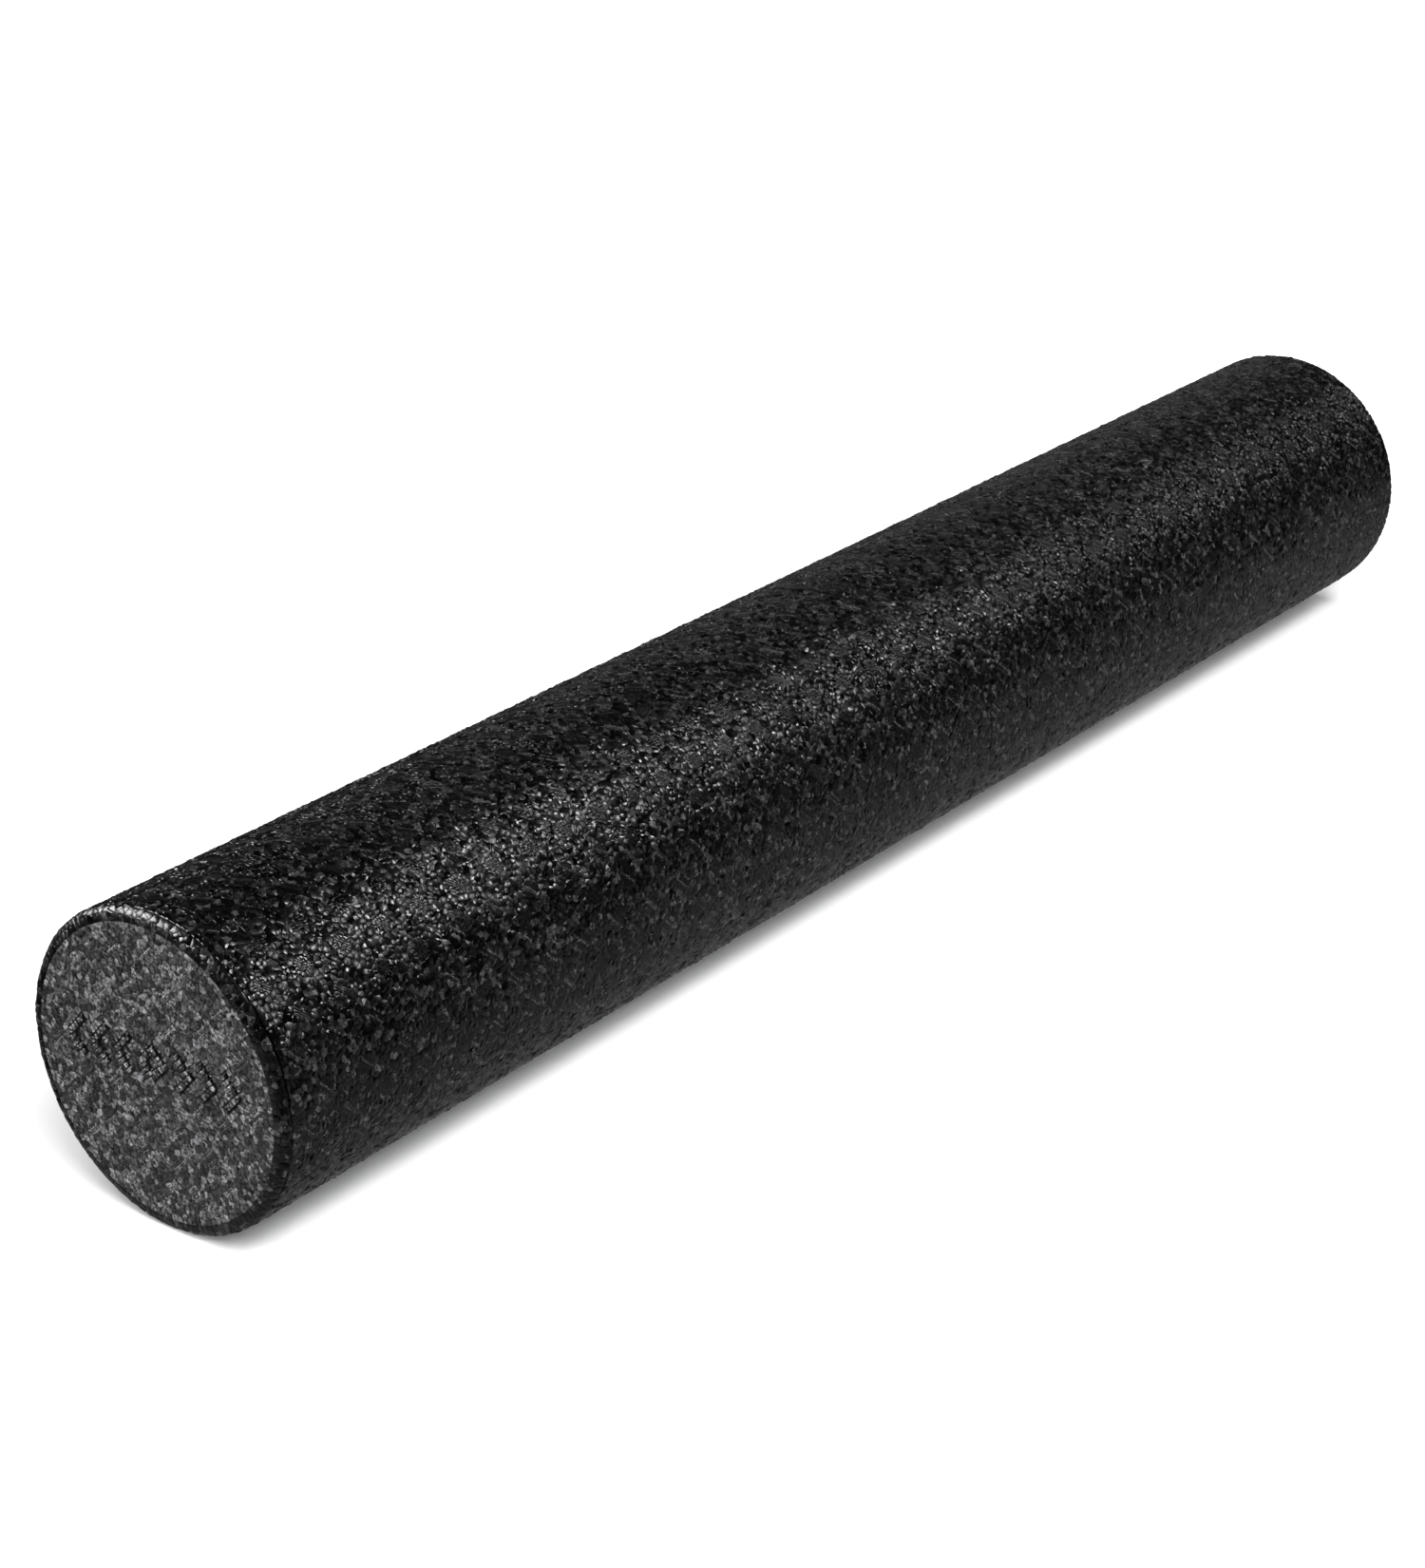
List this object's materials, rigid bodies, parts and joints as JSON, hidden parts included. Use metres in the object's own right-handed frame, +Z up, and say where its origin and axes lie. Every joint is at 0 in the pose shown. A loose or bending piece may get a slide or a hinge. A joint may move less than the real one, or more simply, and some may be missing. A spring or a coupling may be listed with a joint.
{
  "type": "foam roller",
  "caption": "Long round bead-foam exercise roller, 36 in by 5.5 in, with flat ends, rounded rims and a raised chevron pattern on one end.",
  "frame": {"origin": "on the floor under the middle of the barrel", "axes": "+Y along the roller's axis towards the plain end, +Z up, the marked end faces -Y"},
  "size_m": [0.1406, 0.9152, 0.1407],
  "materials": {
    "bead_foam": "black steam-moulded polypropylene beads with a satin pebbled skin"
  },
  "bodies": {
    "root": {"barrel": "bead_foam", "near_end_cap": "bead_foam", "far_end_cap": "bead_foam"}
  },
  "joints": []
}
